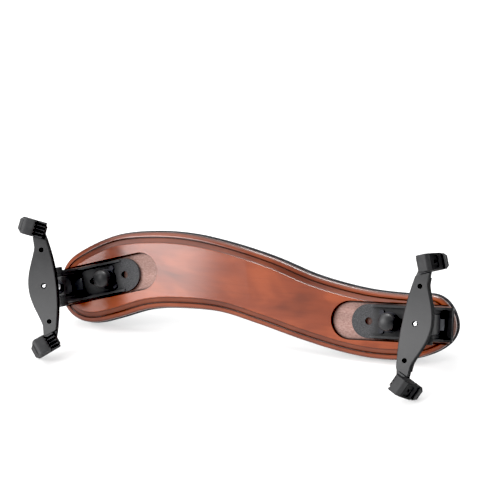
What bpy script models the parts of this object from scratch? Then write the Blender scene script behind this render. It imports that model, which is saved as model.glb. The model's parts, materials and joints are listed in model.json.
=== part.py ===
"""Violin shoulder rest: an S-shaped wooden board with a foam pad and two folding fork legs.

The design frame has X along the board, +Y towards the player's shoulder and Z across the
board. Each leg has a frame of its own: X outwards along its slot, Y across the board and
Z rising towards the violin, with the origin on the board's face below the hinge pin.
Everything hangs from one empty, which stands the rest on its lower claws and lower edge.
"""
import math

import bmesh
import bpy
from mathutils import Matrix, Vector

MM = 0.001
GAP = 0.3 * MM                      # running gap between neighbouring pieces

# Board: outline points (x, z) in mm, clockwise from the shoulder-end tip to the chest-end
# tip along the upper edge, and back along the lower edge.
UPPER_EDGE = [(-124.2, -1), (-120.4, 13), (-108.5, 23.4), (-88, 33.8), (-63, 38.8), (-37, 39.9),
              (-10, 36.8), (18, 30.9), (46, 22.7), (76, 18), (102, 17.6), (119, 18.9), (128.6, 13.5)]
LOWER_EDGE = [(134, 2.5), (131.5, -7.5), (121.5, -15.6), (106, -21.2), (86, -22.9), (64, -21.2),
              (38, -16.4), (12, -10.5), (-14, -5.7), (-40, -6.2), (-60, -9.3), (-80, -17), (-94, -21.7),
              (-105, -22.4), (-115, -18.4), (-121.8, -10)]
EDGE_STEPS = 72                     # outline steps along each edge
WOOD_THICKNESS = 7.5 * MM
SHOULDER_BEND = 0.88                # the ends curve back by this many metres per square metre
SHOULDER_BEND_START = -10 * MM
CHEST_BEND = 0.1
CHEST_TWIST = math.radians(5.5)       # twist of the board's section at the chest end
CHEST_LENGTH = 130 * MM
# Moulded edge of the board, from the back to the field: inset from the outline and depth.
BOARD_RINGS = [(1.0, 7.5), (0.0, 6.7), (0.0, 3.9), (0.7, 2.3), (2.6, 1.5), (3.2, 1.6), (3.5, 2.1),
               (4.2, 1.8), (6.5, 0.7), (6.8, 0.0)]
PAD_GAP = 0.3
# Foam pad, from the face that meets the wood to its crowned back.
PAD_RINGS = [(1.2, 0.0), (-0.2, 0.7), (-0.7, 2.8), (-0.3, 6.2), (1.4, 8.2), (4.8, 9.0)]

# Slots in the board's face
SLOT_HALF_WIDTH = 11.9 * MM
SLOT_DEPTH = 3.5 * MM
SLOT_REACH = 61.7 * MM              # from the hinge pin's foot to the slot's inner end
CUT_LENGTH = 60 * MM                # how far a cutter runs past an open end

# Slider plate, in the leg's frame
PLATE_HALF_WIDTH = 10.4 * MM
PLATE_BOTTOM = -3.2 * MM
PLATE_TOP = -0.7 * MM
PLATE_HOLE_X = -38.4 * MM             # centre of the plate's round inner end and of its hole
PLATE_HOLE_R = 2.3 * MM
PLATE_END_X = 13.2 * MM
RAIL_TOP = 1.6 * MM
RAIL_INNER_Y = 8.7 * MM
LUG_INNER_Y = 6.4 * MM
LUG_OUTER_Y = 10.1 * MM
BOSS_OUTER_Y = 12.3 * MM
END_BAR_X = 9.8 * MM
END_BAR_TOP = 2.6 * MM
SLIDER_TRAVEL = 10 * MM

# Lock knob, which clamps the slider plate to the board
KNOB_X = -26 * MM
KNOB_R = 5.4 * MM
KNOB_TOP = 11.8 * MM
KNOB_SCREW_R = 1.8 * MM
WASHER_R = 6.2 * MM
WASHER_EAR_R = 1.7 * MM
WASHER_EAR = (-4.6 * MM, 5.7 * MM)
INSERT_R = 3.2 * MM
INSERT_LENGTH = 1.9 * MM

# Hinge block and threaded post
PIN_HEIGHT = 15 * MM
PIN_R = 1.5 * MM
PIN_INNER_Y = 3.9 * MM
BLOCK_HALF_WIDTH = 6.1 * MM
BLOCK_HALF_DEPTH = 5.2 * MM
BLOCK_BELOW_PIN = 13.2 * MM
BLOCK_ABOVE_PIN = 5.5 * MM
POST_R = 2.25 * MM
POST_SPIGOT_R = 1.4 * MM
SLEEVE_R = 3.2 * MM

# Fork, in a frame on the post's axis: X outwards, Y along the fork, Z towards the violin
FORK_OFFSET = 1.3 * MM              # the line of the fork's holes lies this far inside the post
FORK_THICKNESS = 6.0 * MM
FORK_BOW = 2.6 * MM                 # rise of the fork's ends
FORK_END = 32 * MM
FORK_HOLE_Y = 22 * MM
FORK_HOLE_R = 1.45 * MM
FORK_HOLE_DEPTH = 4.4 * MM             # the two outer holes stop short of the back
BELLY_REACH = 24 * MM
CLAW_Y = 35 * MM
CLAW_SPLAY = math.radians(23)
CLAW_LEAN = math.radians(16)
CLAW_HALF_WIDTH = 5.0 * MM
FINGER_HALF_WIDTH = 3.0 * MM

# Each leg: side of the board, foot of its hinge pin (x, z), angle of its slot, inward lean of
# the opened post, height of the fork's face above the pin, length of the post below the fork,
# and the turn of the fork on its post
LEGS = {
    "left": dict(side=-1, foot=(-115.1 * MM, -1.3 * MM), slot_angle=math.radians(17.5),
                 post_lean=math.radians(14), post_height=38 * MM, post_length=38 * MM,
                 fork_turn=math.radians(-4)),
    "right": dict(side=1, foot=(119.3 * MM, 1.8 * MM), slot_angle=math.radians(3.6),
                  post_lean=math.radians(5), post_height=30 * MM, post_length=31.5 * MM,
                  fork_turn=math.radians(-9.4)),
}

# How the rest stands on its lower claws and lower edge
STAND_LEAN = math.radians(16.61)
STAND_ROLL = math.radians(0.78)

for old in list(bpy.data.objects):
    bpy.data.objects.remove(old, do_unlink=True)

parts = bpy.data.collections.new("violin_shoulder_rest")
helpers = bpy.data.collections.new("cutters_and_joined_shapes")
for collection in (parts, helpers):
    bpy.context.scene.collection.children.link(collection)


def material(name, color, roughness, metallic=0.0):
    made = bpy.data.materials.new(name)
    made.use_nodes = True
    shader = made.node_tree.nodes["Principled BSDF"]
    shader.inputs["Base Color"].default_value = (*color, 1)
    shader.inputs["Roughness"].default_value = roughness
    shader.inputs["Metallic"].default_value = metallic
    return made


WOOD = material("varnished_maple", (0.36, 0.12, 0.06), 0.35)
FOAM = material("black_foam", (0.02, 0.02, 0.022), 0.95)
PLASTIC = material("black_nylon", (0.035, 0.035, 0.038), 0.45)
RUBBER = material("black_rubber", (0.03, 0.03, 0.03), 0.7)
BRASS = material("brass", (0.62, 0.45, 0.18), 0.35, 1.0)
STEEL = material("steel", (0.6, 0.6, 0.62), 0.3, 1.0)


# ---------------------------------------------------------------- helpers

def add_object(name, bm, look=None, parent=None, matrix=None, smooth=True):
    """A part from a bmesh, or a hidden helper when it has no look."""
    bmesh.ops.recalc_face_normals(bm, faces=bm.faces)
    mesh = bpy.data.meshes.new(name)
    bm.to_mesh(mesh)
    bm.free()
    if smooth:
        mesh.shade_smooth()
        mesh.set_sharp_from_angle(angle=math.radians(35))
    made = bpy.data.objects.new(name, mesh)
    (parts if look else helpers).objects.link(made)
    if look:
        mesh.materials.append(look)
    else:
        made.hide_render = True
        made.display_type = "WIRE"
    made.parent = parent
    if matrix is not None:
        made.matrix_basis = matrix
    return made


def combine(target, helper, operation):
    """Cut or join a helper shape with a Boolean modifier."""
    modifier = target.modifiers.new(operation.lower() + "_" + helper.name, "BOOLEAN")
    modifier.operation = operation
    modifier.object = helper


def bevel(target, width, segments=2, angle=40):
    modifier = target.modifiers.new("edges", "BEVEL")
    modifier.width = width
    modifier.segments = segments
    modifier.limit_method = "ANGLE"
    modifier.angle_limit = math.radians(angle)


def empty(name, parent, matrix):
    made = bpy.data.objects.new(name, None)
    parts.objects.link(made)
    made.parent = parent
    made.matrix_basis = matrix
    return made


def add_box(bm, low, high, matrix=None):
    """A box between two corners, added to a bmesh."""
    centre = (Vector(low) + Vector(high)) / 2
    size = Vector(high) - Vector(low)
    place = Matrix.Translation(centre) @ Matrix.Diagonal((*size, 1))
    bmesh.ops.create_cube(bm, size=1, matrix=(matrix or Matrix()) @ place)


def add_cylinder(bm, radius, start, end, segments=40, top_radius=None):
    """A cylinder or cone between two points, added to a bmesh."""
    start, end = Vector(start), Vector(end)
    along = end - start
    place = Matrix.Translation((start + end) / 2) @ along.to_track_quat("Z", "Y").to_matrix().to_4x4()
    bmesh.ops.create_cone(bm, cap_ends=True, segments=segments, radius1=radius,
                          radius2=radius if top_radius is None else top_radius,
                          depth=along.length, matrix=place)


def add_prism(bm, outline, low, high, matrix=None):
    """A flat outline in XY, given a thickness from low to high along Z."""
    matrix = matrix or Matrix()
    face = bm.faces.new([bm.verts.new(matrix @ Vector((x, y, low))) for x, y in outline])
    grown = bmesh.ops.extrude_face_region(bm, geom=[face])
    moved = [item for item in grown["geom"] if isinstance(item, bmesh.types.BMVert)]
    lift = matrix.to_3x3() @ Vector((0, 0, high - low))
    bmesh.ops.translate(bm, vec=lift, verts=moved)


def ends(name):
    """Each end of a leg's cross pieces: its sign along the leg's Y, and its name."""
    side = LEGS[name]["side"]
    return (side, "upper"), (-side, "lower")


def arc(centre, radius, start, end, steps):
    """Points along an arc, with its angles in degrees."""
    angles = [math.radians(start + (end - start) * i / steps) for i in range(steps + 1)]
    return [(centre[0] + radius * math.cos(a), centre[1] + radius * math.sin(a)) for a in angles]


def turned(name, profile, look, parent, location, segments=24):
    """A solid of revolution about Z, from (radius, height) points, with the axis closed."""
    bm = bmesh.new()
    points = [bm.verts.new((radius, 0, height)) for radius, height in profile]
    if profile[0][0] == profile[-1][0] == 0:
        edges = [bm.edges.new(pair) for pair in zip(points, points[1:])]
    else:
        edges = [bm.edges.new(pair) for pair in zip(points, points[1:] + points[:1])]
    bmesh.ops.spin(bm, geom=points + edges, axis=(0, 0, 1), cent=(0, 0, 0),
                   steps=segments, angle=2 * math.pi, use_merge=True)
    bmesh.ops.remove_doubles(bm, verts=bm.verts, dist=1e-6)
    return add_object(name, bm, look, parent, Matrix.Translation(location))


# ---------------------------------------------------------------- board and pad

def smooth_edge(points, before, after, steps):
    """Evenly spaced points on a Catmull-Rom curve through an edge's points, in metres."""
    chain = [Vector(p) * MM for p in (before, *points, after)]
    fine = []
    for a, b, c, d in zip(chain, chain[1:], chain[2:], chain[3:]):
        for i in range(24):
            t = i / 24
            fine.append(0.5 * (2 * b + (c - a) * t + (2 * a - 5 * b + 4 * c - d) * t ** 2
                               + (3 * b - a - 3 * c + d) * t ** 3))
    fine.append(chain[-2])
    lengths = [0]
    for a, b in zip(fine, fine[1:]):
        lengths.append(lengths[-1] + (b - a).length)
    even, k = [], 0
    for i in range(steps):
        target = lengths[-1] * i / steps
        while lengths[k + 1] < target:
            k += 1
        share = (target - lengths[k]) / (lengths[k + 1] - lengths[k])
        even.append(fine[k].lerp(fine[k + 1], share))
    return even


def board_outline():
    """The board's closed outline: upper edge out, lower edge back, the same steps in each."""
    upper, lower = UPPER_EDGE, LOWER_EDGE
    return (smooth_edge(upper + lower[:1], lower[-1], lower[1], EDGE_STEPS)
            + smooth_edge(lower + upper[:1], upper[-1], upper[1], EDGE_STEPS))


def inset(outline, distance):
    """The outline moved inwards by a distance, point by point."""
    count = len(outline)
    moved = []
    for i, point in enumerate(outline):
        along = (outline[(i + 1) % count] - outline[i - 1]).normalized()
        moved.append(point + Vector((along.y, -along.x)) * distance)
    return moved


def face_y(x, z):
    """Depth of the board's face at a place: its bend along the length, and its twist."""
    depth = 0.0
    if x < SHOULDER_BEND_START:
        depth = SHOULDER_BEND * (x - SHOULDER_BEND_START) ** 2
    elif x > 0:
        depth = CHEST_BEND * x ** 2 + z * math.tan(CHEST_TWIST) * min(x / CHEST_LENGTH, 1)
    return depth


def slab(outline, rings, offset):
    """A curved slab whose edge is moulded by rings of (inset, depth) in mm."""
    bm = bmesh.new()
    loops = []
    for distance, depth in rings:
        loops.append([bm.verts.new((p.x, face_y(p.x, p.y) + (depth + offset) * MM, p.y))
                      for p in inset(outline, distance * MM)])
    count = len(outline)
    for near, far in zip(loops, loops[1:]):
        for i in range(count):
            j = (i + 1) % count
            bm.faces.new((near[i], near[j], far[j], far[i]))
    for loop in (loops[0], loops[-1]):
        bm.faces.new((loop[0], loop[1], loop[-1]))
        for i in range(1, count // 2 - 1):
            bm.faces.new((loop[i], loop[i + 1], loop[count - i - 1], loop[count - i]))
        middle = count // 2
        bm.faces.new((loop[middle - 1], loop[middle], loop[middle + 1]))
    return bm


def face_point(x, z):
    return Vector((x, face_y(x, z), z))


def leg_frame(leg):
    """The leg's frame, laid on the board's face along its slot."""
    side, (x, z), angle = leg["side"], leg["foot"], leg["slot_angle"]
    inwards = Vector((math.cos(angle), 0, math.sin(angle))) * -side
    foot = face_point(x, z)
    inner = face_point(x + inwards.x * SLOT_REACH, z + inwards.z * SLOT_REACH)
    outwards = (foot - inner).normalized()
    middle = (foot + inner) / 2
    half = SLOT_HALF_WIDTH * Vector((inwards.z, 0, -inwards.x))
    across = (face_point(middle.x + half.x, middle.z + half.z)
              - face_point(middle.x - half.x, middle.z - half.z)).normalized()
    rise = outwards.cross(across).normalized()
    across = rise.cross(outwards)
    frame = Matrix((outwards, across, rise)).transposed().to_4x4()
    frame.translation = foot
    return frame


def make_board(stand, frames):
    board = add_object("wood_board", slab(board_outline(), BOARD_RINGS, 0.0), WOOD, stand)
    for name, frame in frames.items():
        bm = bmesh.new()
        outline = [(CUT_LENGTH, SLOT_HALF_WIDTH)]
        outline += arc((SLOT_HALF_WIDTH - SLOT_REACH, 0), SLOT_HALF_WIDTH, 90, 270, 24)
        outline += [(CUT_LENGTH, -SLOT_HALF_WIDTH)]
        add_prism(bm, outline, -SLOT_DEPTH, CUT_LENGTH)
        combine(board, add_object(name + "_slot", bm, parent=stand, matrix=frame), "DIFFERENCE")
        bm = bmesh.new()
        bottom = -SLOT_DEPTH - GAP - INSERT_LENGTH - GAP
        add_cylinder(bm, INSERT_R + GAP, (KNOB_X, 0, bottom), (KNOB_X, 0, PLATE_TOP))
        combine(board, add_object(name + "_insert_hole", bm, parent=stand, matrix=frame), "DIFFERENCE")
    return board


def make_pad(stand):
    rings = [(distance, depth) for distance, depth in PAD_RINGS]
    offset = WOOD_THICKNESS / MM + PAD_GAP
    return add_object("foam_pad", slab(board_outline(), rings, offset), FOAM, stand)


# ---------------------------------------------------------------- slider, knob and washer

def side_wall_outline():
    """Rail, hinge lug and end of the slider's side wall, seen from the side (x, z)."""
    lug_r = 4.6 * MM
    lug = arc((0, PIN_HEIGHT), lug_r, 160, 12, 10)
    return [(PLATE_HOLE_X + 1 * MM, PLATE_BOTTOM + GAP), (PLATE_HOLE_X + 1 * MM, RAIL_TOP - 1 * MM),
            (PLATE_HOLE_X + 3 * MM, RAIL_TOP), (-12 * MM, RAIL_TOP), (-8.5 * MM, 3.2 * MM), *lug,
            (END_BAR_X - 1 * MM, 4.4 * MM), (PLATE_END_X, END_BAR_TOP), (PLATE_END_X, PLATE_BOTTOM + GAP)]


def make_slider(name, frame_empty):
    bm = bmesh.new()
    outline = [(PLATE_END_X, PLATE_HALF_WIDTH)]
    outline += arc((PLATE_HOLE_X, 0), PLATE_HALF_WIDTH, 90, 270, 24)
    outline += [(PLATE_END_X, -PLATE_HALF_WIDTH)]
    add_prism(bm, outline, PLATE_BOTTOM, PLATE_TOP)
    slider = add_object(name + "_slider_plate", bm, PLASTIC, frame_empty)

    upright = Matrix.Rotation(math.radians(90), 4, "X")     # outline (x, z), thickness along -y
    bm = bmesh.new()
    for sign in (-1, 1):
        near, far = sorted((-sign * RAIL_INNER_Y, -sign * LUG_OUTER_Y))
        add_prism(bm, side_wall_outline(), near, far, upright)
    combine(slider, add_object(name + "_side_walls", bm, parent=frame_empty), "UNION")

    bm = bmesh.new()
    for sign in (-1, 1):
        near, far = sorted((-sign * LUG_INNER_Y, -sign * (RAIL_INNER_Y + GAP)))
        lug = [(-7 * MM, PLATE_BOTTOM + 2 * GAP), *arc((0, PIN_HEIGHT), 4.2 * MM, 160, 12, 10),
               (7.4 * MM, PLATE_BOTTOM + 2 * GAP)]
        add_prism(bm, lug, near, far, upright)
        add_cylinder(bm, 3.6 * MM, (0, sign * (LUG_OUTER_Y - GAP), PIN_HEIGHT),
                     (0, sign * BOSS_OUTER_Y, PIN_HEIGHT), 32)
    add_box(bm, (END_BAR_X, -LUG_OUTER_Y + GAP, PLATE_BOTTOM + 2 * GAP),
            (PLATE_END_X - GAP, LUG_OUTER_Y - GAP, END_BAR_TOP - GAP))
    combine(slider, add_object(name + "_lugs", bm, parent=frame_empty), "UNION")

    bm = bmesh.new()
    slot_r = KNOB_SCREW_R + GAP + 0.2 * MM
    slot = arc((KNOB_X, 0), slot_r, 90, 270, 12) + arc((KNOB_X + SLIDER_TRAVEL, 0), slot_r, -90, 90, 12)
    add_prism(bm, slot, PLATE_BOTTOM - 1 * MM, PLATE_TOP + 1 * MM)
    add_cylinder(bm, PLATE_HOLE_R, (PLATE_HOLE_X, 0, PLATE_BOTTOM - 1 * MM),
                 (PLATE_HOLE_X, 0, PLATE_TOP + 1 * MM), 32)
    add_cylinder(bm, PIN_R + GAP, (0, -CUT_LENGTH, PIN_HEIGHT), (0, CUT_LENGTH, PIN_HEIGHT), 32)
    combine(slider, add_object(name + "_slider_holes", bm, parent=frame_empty), "DIFFERENCE")
    return slider


def make_knob(name, frame_empty):
    """Domed knob on its screw, the clamp washer under it and the insert in the board."""
    washer_low, washer_high = PLATE_TOP + GAP, PLATE_TOP + GAP + 0.8 * MM
    bm = bmesh.new()
    add_cylinder(bm, WASHER_R, (0, 0, washer_low), (0, 0, washer_high), 32)
    at_knob = Matrix.Translation((KNOB_X, 0, 0))
    washer = add_object(name + "_clamp_washer", bm, STEEL, frame_empty, at_knob)
    bm = bmesh.new()
    for sign in (-1, 1):
        x, y = WASHER_EAR
        add_cylinder(bm, WASHER_EAR_R, (x, sign * y, washer_low), (x, sign * y, washer_high), 16)
    combine(washer, add_object(name + "_washer_ears", bm, parent=frame_empty, matrix=at_knob), "UNION")
    bm = bmesh.new()
    add_cylinder(bm, KNOB_SCREW_R + GAP, (0, 0, washer_low - 1 * MM), (0, 0, washer_high + 1 * MM), 32)
    combine(washer, add_object(name + "_washer_hole", bm, parent=frame_empty, matrix=at_knob), "DIFFERENCE")

    base = washer_high + GAP
    dome_z = KNOB_TOP - KNOB_R
    dome = [(r, dome_z + z) for r, z in arc((0, 0), KNOB_R, 0, 90, 10)]
    dome[-1] = (0, KNOB_TOP)
    bore = KNOB_SCREW_R + GAP
    head = [(0, dome_z + 1 * MM), (bore, dome_z + 1 * MM), (bore, base), (KNOB_R - 1.2 * MM, base),
            (KNOB_R - 0.9 * MM, base + 1.6 * MM), (KNOB_R, base + 2.4 * MM), *dome]
    turned(name + "_lock_knob", head, PLASTIC, frame_empty, (KNOB_X, 0, 0), 32)
    screw_low = -SLOT_DEPTH - INSERT_LENGTH
    screw = [(0, screw_low), (KNOB_SCREW_R - 0.4 * MM, screw_low), (KNOB_SCREW_R, screw_low + 0.4 * MM),
             (KNOB_SCREW_R, dome_z + 1 * MM - GAP), (0, dome_z + 1 * MM - GAP)]
    turned(name + "_knob_screw", screw, STEEL, frame_empty, (KNOB_X, 0, 0))

    insert_high = -SLOT_DEPTH - GAP
    insert = [(KNOB_SCREW_R + GAP, insert_high - INSERT_LENGTH), (INSERT_R, insert_high - INSERT_LENGTH),
              (INSERT_R, insert_high), (KNOB_SCREW_R + GAP, insert_high)]
    turned(name + "_threaded_insert", insert, BRASS, frame_empty, (KNOB_X, 0, 0))


# ---------------------------------------------------------------- hinge, post and fork

def make_hinge(name, frame_empty, post_empty):
    for sign, end in ends(name):
        bm = bmesh.new()
        add_cylinder(bm, PIN_R, (0, sign * PIN_INNER_Y, 0), (0, sign * (BOSS_OUTER_Y - 0.4 * MM), 0), 20)
        pin = add_object(f"{name}_hinge_pin_{end}", bm, STEEL, frame_empty,
                         Matrix.Translation((0, 0, PIN_HEIGHT)))
        bevel(pin, 0.3 * MM, 1)

    bm = bmesh.new()
    low, high, half = -BLOCK_BELOW_PIN, BLOCK_ABOVE_PIN, BLOCK_HALF_DEPTH
    side = [(-half + 1 * MM, low), (half - 1 * MM, low), (half, low + 2 * MM), (half, high - 2.5 * MM),
            (half - 1.5 * MM, high), (-half + 1.5 * MM, high), (-half, high - 2.5 * MM), (-half, low + 2 * MM)]
    upright = Matrix.Rotation(math.radians(90), 4, "X")
    add_prism(bm, side, -BLOCK_HALF_WIDTH, BLOCK_HALF_WIDTH, upright)
    block = add_object(name + "_hinge_block", bm, PLASTIC, post_empty)
    bevel(block, 0.6 * MM)
    bm = bmesh.new()
    add_cylinder(bm, SLEEVE_R + GAP, (0, 0, low - 1 * MM), (0, 0, high + 1 * MM), 28)
    combine(block, add_object(name + "_block_bore", bm, parent=post_empty), "DIFFERENCE")
    bm = bmesh.new()
    add_cylinder(bm, PIN_R + GAP, (0, -CUT_LENGTH, 0), (0, CUT_LENGTH, 0), 32)
    combine(block, add_object(name + "_block_pin_hole", bm, parent=post_empty), "DIFFERENCE")

    bore, flange = POST_R + GAP, 4.4 * MM
    sleeve = [(bore, low + 2 * MM), (SLEEVE_R, low + 2 * MM), (SLEEVE_R, high + GAP), (flange, high + GAP),
              (flange, high + 1.2 * MM), (bore, high + 1.2 * MM)]
    turned(name + "_threaded_sleeve", sleeve, STEEL, post_empty, (0, 0, 0))


def make_detent_spring(name, frame_empty):
    """Leaf spring under the hinge block, bowed up in the middle."""
    bm = bmesh.new()
    low, thickness = PLATE_TOP + GAP, 0.4 * MM
    top = [(-8.5, 0.0), (-4, 0.0), (-1, 0.35), (3, 0.35), (5.5, 0.0), (8.0, 0.0)]
    outline = [(x * MM, low + z * MM) for x, z in top]
    outline += [(x * MM, low + z * MM + thickness) for x, z in reversed(top)]
    add_prism(bm, outline, -3.5 * MM, 3.5 * MM, Matrix.Rotation(math.radians(90), 4, "X"))
    add_object(name + "_detent_spring", bm, STEEL, frame_empty, smooth=False)


def make_post(name, fork_empty, length):
    """Threaded post: its spigot shows in the fork's middle hole."""
    shoulder = -FORK_THICKNESS - GAP
    low = shoulder - length
    profile = [(0, low), (POST_R - 0.5 * MM, low), (POST_R, low + 0.5 * MM), (POST_R, shoulder),
               (POST_SPIGOT_R, shoulder), (POST_SPIGOT_R, -0.9 * MM), (POST_SPIGOT_R - 0.4 * MM, -0.5 * MM),
               (0, -0.4 * MM)]
    return turned(name + "_threaded_post", profile, STEEL, fork_empty, (0, 0, 0))


def fork_edges(y):
    """Inner and outer edges of the fork's plate at a place along it, from the holes' line."""
    inner = -6.6 * MM + 3.2 * MM * (y / (30 * MM)) ** 2
    outer = 4.3 * MM
    if abs(y) < BELLY_REACH:
        outer += 6.9 * MM * math.cos(math.pi * y / (2 * BELLY_REACH)) ** 1.2
    return inner, outer


def fork_rise(y):
    return FORK_BOW * (y / (30 * MM)) ** 2


def claw_matrix(sign):
    """Frame of one claw: X outwards along the claw, Y across it, Z towards the violin."""
    place = Matrix.Translation((0.5 * MM - FORK_OFFSET, sign * CLAW_Y, FORK_BOW))
    return place @ Matrix.Rotation(sign * CLAW_SPLAY, 4, "Z")


def finger_outline(grow=0.0):
    """Finger seen along the claw's width (x, z), leaning inwards."""
    shift = math.tan(CLAW_LEAN)
    half = 1.8 * MM + grow
    low, high = -3.0 * MM, 12.2 * MM + grow
    root = 5.6 * MM
    return [(root - half - shift * low, low), (root + half - shift * low, low),
            (root + half - shift * high, high), (root - half - shift * high, high)]


def make_fork(name, fork_empty):
    steps = 32
    bm = bmesh.new()
    sections = []
    for i in range(steps + 1):
        y = -FORK_END + 2 * FORK_END * i / steps
        inner, outer = fork_edges(y)
        inner, outer, top = inner - FORK_OFFSET, outer - FORK_OFFSET, fork_rise(y)
        low, edge = top - FORK_THICKNESS, 0.5 * MM
        section = [(inner + edge, low), (outer - edge, low), (outer, low + edge), (outer, top - edge),
                   (outer - edge, top), (inner + edge, top), (inner, top - edge), (inner, low + edge)]
        sections.append([bm.verts.new((x, y, z)) for x, z in section])
    for near, far in zip(sections, sections[1:]):
        for i in range(8):
            bm.faces.new((near[i], near[(i + 1) % 8], far[(i + 1) % 8], far[i]))
    bm.faces.new(sections[0])
    bm.faces.new(sections[-1])
    fork = add_object(name + "_fork", bm, PLASTIC, fork_empty)

    upright = Matrix.Rotation(math.radians(90), 4, "X")
    for sign, end in ends(name):
        claw = claw_matrix(sign)
        bm = bmesh.new()
        paddle = [(-4.4, -4.6), (11.2, -4.6), (12.8, -3.0), (12.8, 3.0), (11.2, 4.6), (-2.4, 4.6), (-4.4, 2.6)]
        add_prism(bm, [(x * MM, sign * y * MM) for x, y in paddle], -5.2 * MM, -2.2 * MM)
        helper = add_object(f"{name}_paddle_{end}", bm, parent=fork_empty, matrix=claw)
        combine(fork, helper, "UNION")
        bm = bmesh.new()
        half = CLAW_HALF_WIDTH + GAP
        add_box(bm, (-8 * MM, -half, -2.1 * MM), (16 * MM, half, 12 * MM))
        helper = add_object(f"{name}_boot_seat_{end}", bm, parent=fork_empty, matrix=claw)
        combine(fork, helper, "DIFFERENCE")
        bm = bmesh.new()
        add_prism(bm, finger_outline(), -FINGER_HALF_WIDTH, FINGER_HALF_WIDTH, upright)
        helper = add_object(f"{name}_finger_{end}", bm, parent=fork_empty, matrix=claw)
        combine(fork, helper, "UNION")

    bm = bmesh.new()
    add_cylinder(bm, 4.8 * MM, (0, 0, -FORK_THICKNESS + 0.4 * MM), (0, 0, -FORK_THICKNESS - 3.6 * MM), 32)
    combine(fork, add_object(name + "_fork_boss", bm, parent=fork_empty), "UNION")
    bm = bmesh.new()
    reach, steps = 28 * MM, 24
    stations = [-reach + 2 * reach * i / steps for i in range(steps + 1)]
    outer = [(fork_edges(y)[1] - FORK_OFFSET - 0.6 * MM, y) for y in stations]
    inner = [(x - 1.6 * MM, y) for x, y in reversed(outer)]
    add_prism(bm, outer + inner, -FORK_THICKNESS - 2.2 * MM, -FORK_THICKNESS + 2.9 * MM)
    combine(fork, add_object(name + "_fork_rib", bm, parent=fork_empty), "UNION")

    bm = bmesh.new()
    add_cylinder(bm, POST_SPIGOT_R + GAP, (0, 0, -CUT_LENGTH / 2), (0, 0, CUT_LENGTH / 2), 28)
    x = -FORK_OFFSET
    for y in (-FORK_HOLE_Y, FORK_HOLE_Y):
        add_cylinder(bm, FORK_HOLE_R, (x, y, fork_rise(y) - FORK_HOLE_DEPTH), (x, y, CUT_LENGTH / 2), 28)
    combine(fork, add_object(name + "_fork_holes", bm, parent=fork_empty), "DIFFERENCE")
    bm = bmesh.new()
    add_cylinder(bm, POST_R + GAP, (0, 0, -CUT_LENGTH / 2), (0, 0, -FORK_THICKNESS), 28)
    combine(fork, add_object(name + "_fork_socket", bm, parent=fork_empty), "DIFFERENCE")
    return fork


def boot_outline():
    """Rubber boot seen along the claw's width (x, z): a floor with an upright leaning inwards."""
    shift = math.tan(CLAW_LEAN)
    low, high, root, half = -1.9, 13.4, 5.6, 3.6
    inner_top = root - half - shift * high
    points = [(-4.6, low), (root + half - shift * low + 0.9, low), (root + half + 0.9, 1.5),
              (root + half + 0.6 - shift * 11.5, 11.5), (root + half - shift * high - 0.9, high + 0.9),
              (inner_top + 1.2, high), (inner_top + 0.1, high - 1.4), (root - half - shift * 3.6, 3.6),
              (root - half - shift * 1.0 - 1.6, 1.3), (-3.8, 1.0), (-4.6, 0.3)]
    return [(x * MM, z * MM) for x, z in points]


def make_boots(name, fork_empty):
    upright = Matrix.Rotation(math.radians(90), 4, "X")
    for sign, end in ends(name):
        claw = claw_matrix(sign)
        bm = bmesh.new()
        add_prism(bm, boot_outline(), -CLAW_HALF_WIDTH, CLAW_HALF_WIDTH, upright)
        boot = add_object(f"{name}_rubber_boot_{end}", bm, RUBBER, fork_empty, claw)
        bevel(boot, 0.9 * MM, 2, 25)
        bm = bmesh.new()
        half = FINGER_HALF_WIDTH + GAP
        add_prism(bm, finger_outline(GAP), -half, half, upright)
        helper = add_object(f"{name}_boot_cavity_{end}", bm, parent=fork_empty, matrix=claw)
        combine(boot, helper, "DIFFERENCE")


# ---------------------------------------------------------------- assembly

stand = empty("stand", None, Matrix.Rotation(STAND_ROLL, 4, "Y") @ Matrix.Rotation(-STAND_LEAN, 4, "X"))
frames = {name: leg_frame(leg) for name, leg in LEGS.items()}
make_board(stand, frames)
make_pad(stand)
for name, leg in LEGS.items():
    base = empty(name + "_leg_base", stand, frames[name])
    make_knob(name, base)
    make_slider(name, base)
    make_detent_spring(name, base)
    post_frame = Matrix.Translation((0, 0, PIN_HEIGHT)) @ Matrix.Rotation(-leg["post_lean"], 4, "Y")
    post = empty(name + "_hinge_axis", base, post_frame)
    make_hinge(name, base, post)
    fork_frame = Matrix.Translation((0, 0, leg["post_height"])) @ Matrix.Rotation(leg["fork_turn"], 4, "Z")
    fork_axis = empty(name + "_fork_axis", post, fork_frame)
    make_post(name, fork_axis, leg["post_length"])
    make_fork(name, fork_axis)
    make_boots(name, fork_axis)


def world_points():
    """Every visible piece's points as evaluated, in world space."""
    view = bpy.context.evaluated_depsgraph_get()
    for piece in parts.objects:
        if piece.type == "MESH":
            shown = piece.evaluated_get(view)
            for vertex in shown.data.vertices:
                yield shown.matrix_world @ vertex.co


bpy.context.view_layer.update()
points = list(world_points())
low = Vector(min(p[i] for p in points) for i in range(3))
high = Vector(max(p[i] for p in points) for i in range(3))
stand.location = (-(low.x + high.x) / 2, -(low.y + high.y) / 2, -low.z)
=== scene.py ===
"""The look of a violin shoulder rest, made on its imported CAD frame.

The board, the foam pad, the rubber boots, the knobs and the screw posts are modelled here in full.
Every other piece keeps its CAD shape, gets softened edges where they show, and has a frame of its
own. Every material is procedural.
"""
import json
import math

import bmesh
import bpy
import numpy as np
from mathutils import Matrix, Vector


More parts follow.
